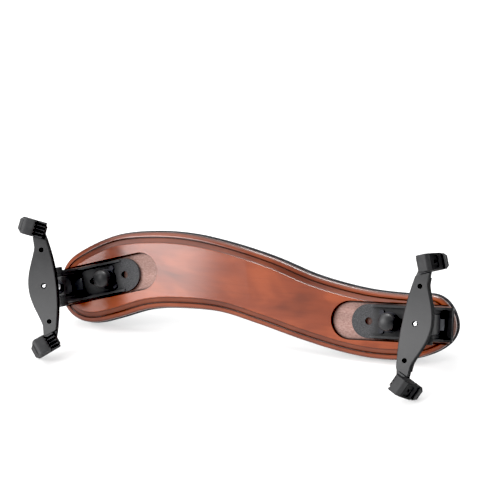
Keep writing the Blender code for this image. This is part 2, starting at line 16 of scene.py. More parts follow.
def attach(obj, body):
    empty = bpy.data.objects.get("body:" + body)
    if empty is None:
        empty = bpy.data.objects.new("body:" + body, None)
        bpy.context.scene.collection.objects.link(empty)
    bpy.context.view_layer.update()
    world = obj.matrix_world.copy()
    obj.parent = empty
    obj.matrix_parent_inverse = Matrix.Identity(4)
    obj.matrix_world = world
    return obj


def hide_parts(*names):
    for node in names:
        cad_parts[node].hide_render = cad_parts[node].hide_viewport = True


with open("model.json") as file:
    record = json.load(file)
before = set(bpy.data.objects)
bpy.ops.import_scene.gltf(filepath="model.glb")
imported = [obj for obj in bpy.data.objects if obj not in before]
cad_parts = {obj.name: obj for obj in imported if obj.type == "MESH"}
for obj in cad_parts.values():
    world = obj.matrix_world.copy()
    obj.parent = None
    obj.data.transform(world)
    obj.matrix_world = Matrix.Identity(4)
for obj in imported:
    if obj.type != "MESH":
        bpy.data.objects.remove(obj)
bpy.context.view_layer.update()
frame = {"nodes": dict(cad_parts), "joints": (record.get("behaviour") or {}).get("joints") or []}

MM = 0.001
GAP = 0.3 * MM

# How the rest stands, and the right leg's foot in the board's own frame
STAND_LEAN = math.radians(16.61)
STAND_ROLL = math.radians(0.78)
RIGHT_FOOT = (119.3 * MM, 1.8 * MM)
PIN_HEIGHT = 15 * MM
FORK_TURN = {"left": math.radians(-4), "right": math.radians(-9.4)}
SIDE = {"left": -1, "right": 1}

# Board outline in mm, as in the CAD
UPPER_EDGE = [(-124.2, -1), (-120.4, 13), (-108.5, 23.4), (-88, 33.8), (-63, 38.8), (-37, 39.9),
              (-10, 36.8), (18, 30.9), (46, 22.7), (76, 18), (102, 17.6), (119, 18.9), (128.6, 13.5)]
LOWER_EDGE = [(134, 2.5), (131.5, -7.5), (121.5, -15.6), (106, -21.2), (86, -22.9), (64, -21.2),
              (38, -16.4), (12, -10.5), (-14, -5.7), (-40, -6.2), (-60, -9.3), (-80, -17), (-94, -21.7),
              (-105, -22.4), (-115, -18.4), (-121.8, -10)]
EDGE_STEPS = 170
CURVE_STEPS = 24

# The bends of the board's face
SHOULDER_BEND = 0.88
SHOULDER_BEND_START = -10 * MM
CHEST_BEND = 0.1
CHEST_TWIST = math.radians(5.5)
CHEST_LENGTH = 130 * MM

# Moulded edges as (inset, depth) in mm: the board's from back to face, the pad's from face to back
BOARD_RINGS = [(1.5, 7.5), (0.8, 7.4), (0.3, 7.1), (0.0, 6.6), (0.0, 3.9), (0.08, 3.2), (0.35, 2.6),
               (0.85, 2.15), (1.6, 1.75), (2.4, 1.52), (2.85, 1.5), (3.05, 1.65), (3.25, 2.1),
               (3.55, 2.1), (3.75, 1.9), (4.5, 1.6), (5.5, 1.15), (6.3, 0.75), (6.6, 0.5),
               (6.75, 0.12), (7.0, 0.0)]
PAD_RINGS = [(1.2, 0.0), (0.3, 0.15), (-0.3, 0.7), (-0.65, 1.7), (-0.75, 3.2), (-0.65, 4.8), (-0.3, 6.2),
             (0.4, 7.3), (1.5, 8.1), (3.2, 8.6), (5.5, 8.95), (8.5, 9.2), (12.0, 9.3)]
PAD_OFFSET = 7.8

# The face's plain field: how near its exact curve a point is, and how well a face is aligned with it
FIELD_TOLERANCE = 0.15 * MM
FIELD_ALIGNED = 0.995

# The lengths that shading is measured in: from the outline, from a slot's centre line, from a knob
RIM_UNIT = 10 * MM
SLOT_UNIT = 20 * MM
KNOB_SHADE_UNIT = 50 * MM

# The board's looks, and a boot's: its mouth painted lighter, its sides and groove floors painted shade
WOOD_LOOK, FLOOR_LOOK, WALL_LOOK = range(3)
LIT_MOUTH_LOOK, SHADED_BOOT_LOOK = 1, 2

# Slots and insert holes, in a leg's frame
SLOT_HALF_WIDTH = 11.9 * MM
SLOT_DEPTH = 3.5 * MM
SLOT_REACH = 61.7 * MM
SLOT_OPEN_END = 60 * MM
SLOT_LIP = 0.6 * MM
SLOT_EDGE_ROUND = 0.4 * MM
INSERT_HOLE_R = 3.5 * MM
INSERT_HOLE_BOTTOM = -6.0 * MM

# Faces of a slot: how near its planes they are, how level its floor is, and how upright its walls
NEAR = 0.1 * MM
FLOOR_FACING = 0.99
WALL_FACING = 0.05

# Sliders, in a leg's frame: where the stipple of the inner end starts and is full
STIPPLE_START = -33.5 * MM
STIPPLE_FULL = -36.5 * MM

# Knobs: the neck is (inset from the knob's radius, rise above its base) in mm
KNOB_X = -26 * MM
KNOB_R = 5.4 * MM
KNOB_BASE = 0.7 * MM
KNOB_TOP = 11.8 * MM
KNOB_BORE_R = 1.8 * MM
KNOB_BORE_TOP = KNOB_TOP - KNOB_R + 1 * MM
KNOB_NECK = [(1.3, 0), (1.2, 0.1), (0.9, 1.6), (0.5, 2.1), (0.1, 2.4), (0, 2.8)]
KNOB_DOME = 4.0 * MM
DOME_STEPS = 16
DOME_FULLNESS = 0.9

# Screw posts, in a fork's frame
POST_R = 2.25 * MM
POST_ROOT_R = 1.85 * MM
POST_SPIGOT_R = 1.4 * MM
POST_PITCH = 0.8 * MM
POST_SHOULDER = -6.3 * MM
POST_TIP = -0.6 * MM
TIP_BEVEL = 0.5 * MM
TIP_TAPER = 0.7
SPIGOT_ROOT = 1 * MM
SHOULDER_GAP = 0.02 * MM
THREAD_START = 0.5 * MM
THREAD_RUNOUT = 1.0 * MM
THREAD_OVERLAP = 0.1 * MM
THREAD_STEPS = 28

# Carried-over shapes: points closer than this are joined, and flatter edges are dissolved
WELD = 0.004 * MM
FLAT = math.radians(0.6)

# A face whose normal's Z is beyond this counts as looking along its frame's Z
FRONT_FACING = 0.45

# Claws, in a fork's frame
FORK_OFFSET = 1.3 * MM
FORK_BOW = 2.6 * MM
CLAW_X = 0.5 * MM
CLAW_Y = 35 * MM
CLAW_SPLAY = math.radians(23)
CLAW_LEAN = math.radians(16)
CLAW_HALF_WIDTH = 5.0 * MM
FINGER_HALF_WIDTH = 3.0 * MM
FINGER_HALF_DEPTH = 1.8 * MM
FINGER_LOW = -3.0 * MM
FINGER_TOP = 12.2 * MM

# A boot's side view (x, z) in mm, in a claw's frame: the grip grooves run along its floor, round the
# corner and up its inner face
CLAW_ROOT = 5.6
BOOT_LOW = -1.9
BOOT_TOP = 13.4
BOOT_HALF_DEPTH = 3.6
GROOVE_SIDE = [(-7, 0.2), (0.9, 0.2), (1.52, 3.4), (-1.94, 15.5), (-7, 15.5)]

# Boots, in a claw's frame
BOOT_ROUND = 0.9 * MM
# Where a boot's painted looks change: its mouth painted lighter, its groove floors painted shade
BOOT_INNER_X = 2.0 * MM
GROOVE_FLOOR = 0.5 * MM
GRIP_GROOVES = 4
GRIP_PITCH = 2.2 * MM
GRIP_HALF_WIDTH = 0.6 * MM

# The pocket in a boot's outer face, and the hole in the pocket
POCKET_CENTRE = (8.3 * MM, 0, 6.5 * MM)
POCKET_LEAN = math.radians(19.8)
POCKET_HALF_WIDTH = 3.6 * MM
POCKET_HALF_HEIGHT = 3.7 * MM
POCKET_CORNER = 1.9 * MM
POCKET_DEPTH = 0.55 * MM
HOLE_R = 1.2 * MM
HOLE_Y = -0.4 * MM
HOLE_DEPTH = 1.7 * MM
CUT_REACH = 5 * MM

# The camera
CAMERA_PLACE = Vector((327.3, -1073.3, 452.4)) * MM
CAMERA_AZIMUTH = math.radians(16.40)
CAMERA_ELEVATION = math.radians(18.83)

joints = {joint["name"]: joint for joint in frame["joints"]}


# ---------------------------------------------------------------- frames

def frame_matrix(x, y, z, origin):
    """A frame from its three axes and its origin."""
    made = Matrix((x, y, z)).transposed().to_4x4()
    made.translation = origin
    return made


def leg_frame(name):
    """X outwards along the slot, Z towards the violin, origin on the board's face."""
    rise = Vector(joints[name + "_knob_turn"]["axis"]).normalized()
    out = -Vector(joints[name + "_slider_slide"]["axis"]).normalized()
    pin = Vector(joints[name + "_leg_fold"]["pos_m"])
    return frame_matrix(out, rise.cross(out), rise, pin - rise * PIN_HEIGHT)


def post_frame(name):
    """X outwards, Z along the leaning post, origin on the hinge pin."""
    rise = Vector(joints[name + "_post_lift"]["axis"]).normalized()
    across = -Vector(joints[name + "_leg_fold"]["axis"]).normalized()
    return frame_matrix(across.cross(rise), across, rise, Vector(joints[name + "_leg_fold"]["pos_m"]))


def fork_frame(name):
    """X outwards, Y along the fork, Z towards the violin, origin at its middle hole."""
    made = post_frame(name) @ Matrix.Rotation(FORK_TURN[name], 4, "Z")
    made.translation = Vector(joints[name + "_fork_turn"]["pos_m"])
    return made


def claw_frame(name, sign):
    """The fork's frame, moved to the claw at one of its ends and turned with it."""
    place = Matrix.Translation((CLAW_X - FORK_OFFSET, sign * CLAW_Y, FORK_BOW))
    return fork_frame(name) @ place @ Matrix.Rotation(sign * CLAW_SPLAY, 4, "Z")


def face_y(x, z):
    """Depth of the board's face at a place: its bend along the length, and its twist."""
    depth = 0.0
    if x < SHOULDER_BEND_START:
        depth = SHOULDER_BEND * (x - SHOULDER_BEND_START) ** 2
    elif x > 0:
        depth = CHEST_BEND * x ** 2 + z * math.tan(CHEST_TWIST) * min(x / CHEST_LENGTH, 1)
    return depth


def stand_frame():
    """The board's frame in the row frame, placed by the right leg's foot."""
    turned = Matrix.Rotation(STAND_ROLL, 4, "Y") @ Matrix.Rotation(-STAND_LEAN, 4, "X")
    foot = Vector((RIGHT_FOOT[0], face_y(*RIGHT_FOOT), RIGHT_FOOT[1]))
    return Matrix.Translation(leg_frame("right").translation - turned @ foot) @ turned


STAND = stand_frame()


# ---------------------------------------------------------------- mesh helpers

def link(name, mesh, place):
    made = bpy.data.objects.new(name, mesh)
    bpy.context.scene.collection.objects.link(made)
    made.matrix_world = place
    return made


def from_bmesh(name, bm, place, sharp=35):
    bmesh.ops.recalc_face_normals(bm, faces=bm.faces)
    mesh = bpy.data.meshes.new(name)
    bm.to_mesh(mesh)
    bm.free()
    mesh.shade_smooth()
    mesh.set_sharp_from_angle(angle=math.radians(sharp))
    return link(name, mesh, place)


def bake(piece):
    """Apply a piece's modifiers."""
    graph = bpy.context.evaluated_depsgraph_get()
    mesh = bpy.data.meshes.new_from_object(piece.evaluated_get(graph))
    piece.modifiers.clear()
    piece.data = mesh


def cut(piece, bm, place):
    """Cut a shape out of a piece, and remove the cutter."""
    cutter = from_bmesh("cutter", bm, place)
    modifier = piece.modifiers.new("cut", "BOOLEAN")
    modifier.operation = "DIFFERENCE"
    modifier.object = cutter
    bpy.context.view_layer.update()
    bake(piece)
    bpy.data.objects.remove(cutter)


def soften(piece, width, segments, angle):
    """Round a piece's edges that turn by more than an angle."""
    modifier = piece.modifiers.new("edges", "BEVEL")
    modifier.width = width
    modifier.segments = segments
    modifier.limit_method = "ANGLE"
    modifier.angle_limit = math.radians(angle)
    modifier.harden_normals = True
    modifier.miter_outer = "MITER_ARC"


def even_shine(piece):
    """Let a piece's large faces set its normals, so that they shine evenly round holes."""
    modifier = piece.modifiers.new("normals", "WEIGHTED_NORMAL")
    modifier.keep_sharp = True


def add_prism(bm, outline, low, high, matrix=None):
    """A flat outline in XY, given a thickness from low to high along Z."""
    matrix = matrix or Matrix()
    face = bm.faces.new([bm.verts.new(matrix @ Vector((x, y, low))) for x, y in outline])
    grown = bmesh.ops.extrude_face_region(bm, geom=[face])
    moved = [item for item in grown["geom"] if isinstance(item, bmesh.types.BMVert)]
    bmesh.ops.translate(bm, vec=matrix.to_3x3() @ Vector((0, 0, high - low)), verts=moved)


def add_cylinder(bm, radius, start, end, segments=48):
    start, end = Vector(start), Vector(end)
    along = end - start
    place = Matrix.Translation((start + end) / 2) @ along.to_track_quat("Z", "Y").to_matrix().to_4x4()
    bmesh.ops.create_cone(bm, cap_ends=True, segments=segments, radius1=radius, radius2=radius,
                          depth=along.length, matrix=place)


def cut_prism(piece, place, *prism):
    """Cut a prism out of a piece, described as for add_prism."""
    bm = bmesh.new()
    add_prism(bm, *prism)
    cut(piece, bm, place)


def cut_cylinder(piece, place, *cylinder):
    """Cut a cylinder out of a piece, described as for add_cylinder."""
    bm = bmesh.new()
    add_cylinder(bm, *cylinder)
    cut(piece, bm, place)


def in_metres(points):
    return [(x * MM, z * MM) for x, z in points]


def arc(centre, radius, start, end, steps):
    """Points on an arc, from one angle to another in degrees."""
    angles = [math.radians(start + (end - start) * i / steps) for i in range(steps + 1)]
    return [(centre[0] + radius * math.cos(a), centre[1] + radius * math.sin(a)) for a in angles]


def smooth_edge(points, before, after, steps):
    """Evenly spaced points on a Catmull-Rom curve through an edge's points, in metres."""
    chain = [Vector(p) * MM for p in (before, *points, after)]
    fine = []
    for a, b, c, d in zip(chain, chain[1:], chain[2:], chain[3:]):
        for i in range(CURVE_STEPS):
            t = i / CURVE_STEPS
            fine.append(0.5 * (2 * b + (c - a) * t + (2 * a - 5 * b + 4 * c - d) * t ** 2
                               + (3 * b - a - 3 * c + d) * t ** 3))
    fine.append(chain[-2])
    lengths = [0]
    for a, b in zip(fine, fine[1:]):
        lengths.append(lengths[-1] + (b - a).length)
    even, k = [], 0
    for i in range(steps):
        target = lengths[-1] * i / steps
        while lengths[k + 1] < target:
            k += 1
        share = (target - lengths[k]) / (lengths[k + 1] - lengths[k])
        even.append(fine[k].lerp(fine[k + 1], share))
    return even


def board_outline():
    upper, lower = UPPER_EDGE, LOWER_EDGE
    return (smooth_edge(upper + lower[:1], lower[-1], lower[1], EDGE_STEPS)
            + smooth_edge(lower + upper[:1], upper[-1], upper[1], EDGE_STEPS))


def inset(outline, distance):
    """An outline moved inwards by a distance."""
    count = len(outline)
    moved = []
    for i, point in enumerate(outline):
        along = (outline[(i + 1) % count] - outline[i - 1]).normalized()
        moved.append(point + Vector((along.y, -along.x)) * distance)
    return moved


def slab(outline, rings, offset):
    """A curved slab whose edge is moulded by rings of (inset, depth) in mm."""
    bm = bmesh.new()
    loops = []
    for distance, depth in rings:
        loops.append([bm.verts.new((p.x, face_y(p.x, p.y) + (depth + offset) * MM, p.y))
                      for p in inset(outline, distance * MM)])
    count = len(outline)
    for near, far in zip(loops, loops[1:]):
        for i in range(count):
            j = (i + 1) % count
            bm.faces.new((near[i], near[j], far[j], far[i]))
    for loop in (loops[0], loops[-1]):
        bm.faces.new((loop[0], loop[1], loop[-1]))
        for i in range(1, count // 2 - 1):
            bm.faces.new((loop[i], loop[i + 1], loop[count - i - 1], loop[count - i]))
        middle = count // 2
        bm.faces.new((loop[middle - 1], loop[middle], loop[middle + 1]))
    return bm


# ---------------------------------------------------------------- material helpers

class Tree:
    """A material's node tree, with a Principled shader at its end."""

    def __init__(self, name, roughness=0.5, metallic=0.0):
        self.material = bpy.data.materials.new(name)
        self.material.use_nodes = True
        self.nodes = self.material.node_tree.nodes
        self.links = self.material.node_tree.links
        self.shader = self.nodes["Principled BSDF"]
        self.shader.inputs["Roughness"].default_value = roughness
        self.shader.inputs["Metallic"].default_value = metallic
        self.place = self.nodes.new("ShaderNodeTexCoord").outputs["Object"]

    def add(self, kind, **settings):
        node = self.nodes.new(kind)
        for key, value in settings.items():
            setattr(node, key, value)
        return node

    def join(self, output, socket):
        self.links.new(output, socket)

    def stretched(self, scale):
        """Object coordinates, scaled."""
        mapping = self.add("ShaderNodeMapping")
        mapping.inputs["Scale"].default_value = scale
        self.join(self.place, mapping.inputs["Vector"])
        return mapping.outputs["Vector"]

    def noise(self, scale, detail, rough=0.5, stretch=None, distortion=0.0):
        node = self.add("ShaderNodeTexNoise")
        node.inputs["Scale"].default_value = scale
        node.inputs["Detail"].default_value = detail
        node.inputs["Roughness"].default_value = rough
        node.inputs["Distortion"].default_value = distortion
        self.join(self.stretched(stretch) if stretch else self.place, node.inputs["Vector"])
        return node.outputs["Fac"]

    def ramp(self, value, stops, smooth=False):
        """A colour ramp; a stop is (position, colour or grey)."""
        node = self.add("ShaderNodeValToRGB")
        if smooth:
            node.color_ramp.interpolation = "EASE"
        points = node.color_ramp.elements
        points.remove(points[1])
        points[0].position = stops[0][0]
        for position, _ in stops[1:]:
            points.new(position)
        for point, (_, color) in zip(points, stops):
            point.color = (*color, 1) if isinstance(color, tuple) else (color, color, color, 1)
        self.join(value, node.inputs["Fac"])
        return node.outputs["Color"]

    def put(self, value, socket):
        """Join an output to a socket, or set the socket to a number."""
        if isinstance(value, bpy.types.NodeSocket):
            self.join(value, socket)
        else:
            socket.default_value = value

    def mix(self, a, b, factor, blend="MIX"):
        """A mix of two colours; the colour mode's sockets are 6, 7 and output 2."""
        node = self.add("ShaderNodeMix", data_type="RGBA", blend_type=blend)
        self.put(factor, node.inputs[0])
        self.join(a, node.inputs[6])
        self.join(b, node.inputs[7])
        return node.outputs[2]

    def math(self, operation, a, b=0.0):
        node = self.add("ShaderNodeMath", operation=operation)
        self.join(a, node.inputs[0])
        self.put(b, node.inputs[1])
        return node.outputs[0]

    def color(self, output):
        self.join(output, self.shader.inputs["Base Color"])

    def roughness(self, value, low, high):
        """Roughness between two values, by a texture."""
        node = self.add("ShaderNodeMapRange")
        node.inputs["To Min"].default_value = low
        node.inputs["To Max"].default_value = high
        self.join(value, node.inputs["Value"])
        self.join(node.outputs["Result"], self.shader.inputs["Roughness"])

    def bump(self, value, strength, distance, before=None):
        node = self.add("ShaderNodeBump")
        node.inputs["Strength"].default_value = strength
        node.inputs["Distance"].default_value = distance
        self.join(value, node.inputs["Height"])
        if before is not None:
            self.join(before, node.inputs["Normal"])
        self.join(node.outputs["Normal"], self.shader.inputs["Normal"])
        return node.outputs["Normal"]


# ---------------------------------------------------------------- materials

def varnished_wood():
    """Antiqued red-brown varnish: cloudy figure, long grain, painted shade along the moulded edge."""
    tree = Tree("varnished_maple")
    cloud = tree.noise(26, 3, 0.55, (0.55, 1, 1.25), 0.5)
    base = tree.ramp(cloud, [(0.3, (0.12, 0.023, 0.008)), (0.45, (0.2, 0.039, 0.013)),
                             (0.58, (0.28, 0.059, 0.019)), (0.74, (0.36, 0.09, 0.034))], True)
    grain = tree.noise(130, 6, 0.62, (0.1, 1, 1.6), 0.4)
    base = tree.mix(base, tree.ramp(grain, [(0.32, 0.6), (0.52, 0.95), (0.75, 1.1)]), 0.35, "MULTIPLY")
    pores = tree.noise(900, 2, 0.5, (0.07, 1, 1))
    base = tree.mix(base, tree.ramp(pores, [(0.3, 0.6), (0.42, 1.0)]), 0.2, "MULTIPLY")
    # Painted shade along the moulded edge, by distance from the outline: darkest in the groove, dark at the
    # outer edge and step
    rim = tree.add("ShaderNodeAttribute", attribute_name="rim").outputs["Fac"]
    shade = tree.ramp(rim, [(0.0, 0.3), (0.05, 0.4), (0.16, 0.8), (0.26, 0.7), (0.3, 0.12),
                            (0.35, 0.08), (0.39, 0.5), (0.56, 0.62), (0.63, 0.35), (0.65, 0.35),
                            (0.67, 1.0)])
    base = tree.mix(base, shade, 1.0, "MULTIPLY")
    tree.color(base)
    tree.roughness(grain, 0.27, 0.42)
    coat = tree.shader.inputs
    tree.join(tree.ramp(rim, [(0.25, 0.65), (0.29, 0.1), (0.37, 0.1), (0.42, 0.65)]), coat["Coat Weight"])
    coat["Coat Roughness"].default_value = 0.18
    coat["Specular IOR Level"].default_value = 0.25
    tree.bump(pores, 0.12, 0.0002, tree.bump(grain, 0.1, 0.0004))
    return tree.material


def slot_reach(tree, name):
    """How far a point is from the slot's centre line, in slot units."""
    place = STAND.inverted() @ leg_frame(name)
    mapping = tree.add("ShaderNodeMapping", vector_type="TEXTURE")
    mapping.inputs["Location"].default_value = place.translation
    mapping.inputs["Rotation"].default_value = place.to_euler()
    tree.join(tree.place, mapping.inputs["Vector"])
    split = tree.add("ShaderNodeSeparateXYZ")
    tree.join(mapping.outputs["Vector"], split.inputs[0])
    beyond = tree.math("MINIMUM", tree.math("ADD", split.outputs["X"], SLOT_REACH - SLOT_HALF_WIDTH), 0.0)
    squares = tree.math("ADD", tree.math("POWER", beyond, 2.0), tree.math("POWER", split.outputs["Y"], 2.0))
    return tree.math("MULTIPLY", tree.math("SQRT", squares), 1 / SLOT_UNIT)


def sanded_wood():
    """Unvarnished slot floor: pink-brown, short open grain, painted shade round the knob and by the walls."""
    tree = Tree("sanded_maple", 0.72)
    fine = tree.noise(1500, 3, 0.6, (0.5, 1, 1))
    base = tree.ramp(fine, [(0.3, (0.27, 0.15, 0.125)), (0.5, (0.35, 0.21, 0.18)), (0.7, (0.45, 0.29, 0.26))])
    broad = tree.noise(120, 3, 0.5, (0.3, 1, 1.5))
    base = tree.mix(base, tree.ramp(broad, [(0.35, 0.75), (0.65, 1.05)]), 0.7, "MULTIPLY")
    # Painted shade round the knob, where the plate covers the floor
    distances = []
    for name in SIDE:
        away = tree.add("ShaderNodeVectorMath", operation="DISTANCE")
        tree.join(tree.place, away.inputs[0])
        away.inputs[1].default_value = STAND.inverted() @ leg_frame(name) @ Vector((KNOB_X, 0, -SLOT_DEPTH))
        distances.append(away.outputs["Value"])
    knob_shade = tree.math("MULTIPLY", tree.math("MINIMUM", *distances), 1 / KNOB_SHADE_UNIT)
    base = tree.mix(base, tree.ramp(knob_shade, [(0.2, 0.04), (0.3, 1.0)]), 1.0, "MULTIPLY")
    # Painted shade along the slot's walls and round its end
    wall_shades = [tree.ramp(slot_reach(tree, name), [(0.52, 1.0), (0.575, 0.06)]) for name in SIDE]
    split = tree.add("ShaderNodeSeparateXYZ")
    tree.join(tree.place, split.inputs[0])
    corner = tree.mix(*wall_shades, tree.math("GREATER_THAN", split.outputs["X"], 0.0))
    tree.color(tree.mix(base, corner, 1.0, "MULTIPLY"))
    tree.bump(fine, 0.35, 0.00015)
    return tree.material


def shaded_end_grain():
    """Slot walls: end grain with a fine grain, painted near-black as shade."""
    tree = Tree("slot_wall_maple_painted_shade", 0.55)
    grain = tree.noise(500, 4, 0.6, (1, 0.2, 1))
    tree.color(tree.ramp(grain, [(0.35, (0.02, 0.007, 0.004)), (0.7, (0.075, 0.024, 0.012))]))
    tree.bump(grain, 0.2, 0.0002)
    return tree.material


def moulded_plastic(name, color, low, high, stipple=0.25, specular=0.5):
    """Satin nylon with a fine spark-eroded texture and an uneven sheen."""
    tree = Tree(name)
    tree.shader.inputs["Specular IOR Level"].default_value = specular
    fine = tree.noise(2600, 2, 0.5)
    broad = tree.noise(70, 3, 0.6)
    lighter = tuple(min(1, c * 1.5) for c in color)
    tree.color(tree.ramp(broad, [(0.3, color), (0.75, lighter)]))
    tree.roughness(broad, low, high)
    tree.bump(fine, stipple, 0.00008)
    return tree.material


def slider_plastic():
    """Slider plate: dark rails and channel, and a coarser, lighter stipple on the inner end."""
    tree = Tree("slider_nylon")
    broad = tree.noise(70, 3, 0.6)
    split = tree.add("ShaderNodeSeparateXYZ")
    tree.join(tree.place, split.inputs[0])
    inner = tree.add("ShaderNodeMapRange")
    inner.inputs["From Min"].default_value = STIPPLE_START
    inner.inputs["From Max"].default_value = STIPPLE_FULL
    tree.join(split.outputs["X"], inner.inputs["Value"])
    end = inner.outputs["Result"]
    speck = tree.noise(1700, 2, 0.6)
    dark = tree.ramp(broad, [(0.3, (0.026, 0.026, 0.027)), (0.75, (0.042, 0.042, 0.043))])
    grey = tree.ramp(speck, [(0.3, (0.04, 0.04, 0.042)), (0.6, (0.075, 0.075, 0.078)),
                             (0.8, (0.15, 0.15, 0.155))])
    tree.color(tree.mix(dark, grey, end))
    tree.shader.inputs["Specular IOR Level"].default_value = 0.3
    tree.roughness(end, 0.62, 0.72)
    tree.bump(speck, 0.45, 0.00012)
    return tree.material


def soft_rubber(name, color, specular):
    """Matte rubber with a fine grain and a faint bloom."""
    tree = Tree(name)
    broad = tree.noise(160, 4, 0.6)
    fine = tree.noise(3200, 2, 0.5)
    lighter = tuple(c * 1.7 for c in color)
    tree.color(tree.ramp(broad, [(0.35, color), (0.7, lighter)]))
    tree.roughness(broad, 0.5, 0.72)
    tree.bump(fine, 0.3, 0.0001)
    tree.shader.inputs["Specular IOR Level"].default_value = specular
    return tree.material


def foam():
    """Dense closed-cell foam: fine cells, cut skin and a dull surface."""
    tree = Tree("pad_foam", 0.92)
    cells = tree.add("ShaderNodeTexVoronoi", feature="SMOOTH_F1")
    cells.inputs["Scale"].default_value = 1100
    tree.join(tree.place, cells.inputs["Vector"])
    broad = tree.noise(90, 4, 0.6)
    base = tree.ramp(cells.outputs["Distance"], [(0.15, (0.014, 0.014, 0.015)), (0.6, (0.05, 0.05, 0.053))])
    base = tree.mix(base, tree.ramp(broad, [(0.3, 0.7), (0.7, 1.2)]), 0.8, "MULTIPLY")
    tree.color(base)
    tree.bump(cells.outputs["Distance"], 0.5, 0.0003, tree.bump(broad, 0.25, 0.0008))
    tree.shader.inputs["Specular IOR Level"].default_value = 0.2
    return tree.material


def metal(name, color, low, high, scale=(1, 1, 14)):
    """Turned or plated metal with fine tool marks."""
    tree = Tree(name, metallic=1.0)
    marks = tree.noise(700, 3, 0.6, scale)
    broad = tree.noise(180, 3, 0.6)
    tree.color(tree.ramp(broad, [(0.3, tuple(c * 0.82 for c in color)), (0.7, color)]))
    tree.roughness(marks, low, high)
    tree.bump(marks, 0.08, 0.00005)
    return tree.material


WOOD = varnished_wood()
SANDED = sanded_wood()
# Slot walls, painted near-black as shade
SHADED_WALL_WOOD = shaded_end_grain()
FORK_PLASTIC = moulded_plastic("fork_nylon", (0.02, 0.02, 0.021), 0.34, 0.46)
# A darker copy of the fork nylon for its sides, painted shade
FORK_SIDE_SHADED = moulded_plastic("fork_side_nylon_painted_shade", (0.009, 0.009, 0.0095), 0.6, 0.7, specular=0.06)
BLOCK_PLASTIC = moulded_plastic("block_nylon", (0.024, 0.024, 0.025), 0.42, 0.52)
KNOB_PLASTIC = moulded_plastic("knob_nylon", (0.02, 0.02, 0.021), 0.42, 0.5, stipple=0.12)
SLIDER_PLASTIC = slider_plastic()
RUBBER = soft_rubber("boot_rubber", (0.03, 0.03, 0.031), 0.3)
# Copies of the boot rubber: one painted lighter for the mouth, one painted shade for sides and groove floors
MOUTH_RUBBER_LIT = soft_rubber("boot_mouth_rubber_painted_light", (0.045, 0.045, 0.047), 0.3)
SHADED_RUBBER = soft_rubber("boot_rubber_painted_shade", (0.011, 0.011, 0.0115), 0.2)
FOAM = foam()
STEEL = metal("plated_steel", (0.72, 0.72, 0.74), 0.18, 0.34)
BLACK_STEEL = metal("blackened_steel", (0.05, 0.05, 0.055), 0.3, 0.45)
SPRING_STEEL = metal("spring_steel", (0.5, 0.51, 0.54), 0.22, 0.38, (14, 1, 1))
BRASS = metal("turned_brass", (0.78, 0.56, 0.24), 0.22, 0.36)


# ---------------------------------------------------------------- board and pad

def rim_values(piece, outline):
    """How far each point lies inside the board's outline, in rim units of at most one."""
    count = len(piece.data.vertices)
    flat = np.zeros(count * 3, np.float32)
    piece.data.vertices.foreach_get("co", flat)
    points = flat.reshape(-1, 3)[:, (0, 2)]
    start = np.array([tuple(p) for p in outline])
    step = np.roll(start, -1, axis=0) - start
    best = np.full(count, 1.0)
    for a, d in zip(start, step):
        share = np.clip(((points - a) @ d) / (d @ d), 0, 1)
        best = np.minimum(best, np.linalg.norm(points - a - share[:, None] * d, axis=1))
    values = piece.data.attributes.new("rim", "FLOAT", "POINT")
    values.data.foreach_set("value", np.minimum(best / RIM_UNIT, 1.0).astype(np.float32))


def face_normal(x, z):
    """The direction that the board's exact face looks in at a place."""
    step = 0.01 * MM
    bend = (face_y(x + step, z) - face_y(x - step, z)) / (2 * step)
    twist = (face_y(x, z + step) - face_y(x, z - step)) / (2 * step)
    return Vector((bend, -1, twist)).normalized()


def true_normals(piece):
    """Give the field the normals of its exact curve, so that the cuts don't disturb its shine."""
    mesh = piece.data
    normals = [Vector(corner.vector) for corner in mesh.corner_normals]
    for face in mesh.polygons:
        points = [mesh.vertices[vertex].co for vertex in face.vertices]
        near = all(abs(p.y - face_y(p.x, p.z)) < FIELD_TOLERANCE for p in points)
        if near and face.normal.dot(face_normal(face.center.x, face.center.z)) > FIELD_ALIGNED:
            for loop, point in zip(face.loop_indices, points):
                normals[loop] = face_normal(point.x, point.z)
    mesh.normals_split_custom_set(normals)


def ease_slot_edges(board):
    """A small round along the slots' upper edges, where the varnish shines."""
    mesh = board.data
    looks = {}
    for face in mesh.polygons:
        for key in face.edge_keys:
            looks.setdefault(key, set()).add(face.material_index)
    weights = mesh.attributes.new("bevel_weight_edge", "FLOAT", "EDGE")
    for edge in mesh.edges:
        on_rim = looks[tuple(sorted(edge.vertices))] == {WOOD_LOOK, WALL_LOOK}
        weights.data[edge.index].value = float(on_rim)
    modifier = board.modifiers.new("edges", "BEVEL")
    modifier.width = SLOT_EDGE_ROUND
    modifier.segments = 3
    modifier.limit_method = "WEIGHT"
    modifier.material = WOOD_LOOK
    bpy.context.view_layer.update()
    bake(board)


def slot_look(middle, rise):
    """The look of a face of the board, by its middle and its normal's Z in a leg's frame."""
    beside = abs(middle.y) < SLOT_HALF_WIDTH + NEAR and middle.x > -SLOT_REACH - NEAR
    if beside and -SLOT_DEPTH - NEAR < middle.z < SLOT_LIP:
        if rise > FLOOR_FACING and middle.z < -SLOT_DEPTH + NEAR:
            return FLOOR_LOOK
        if abs(rise) < WALL_FACING:
            return WALL_LOOK
    return WOOD_LOOK


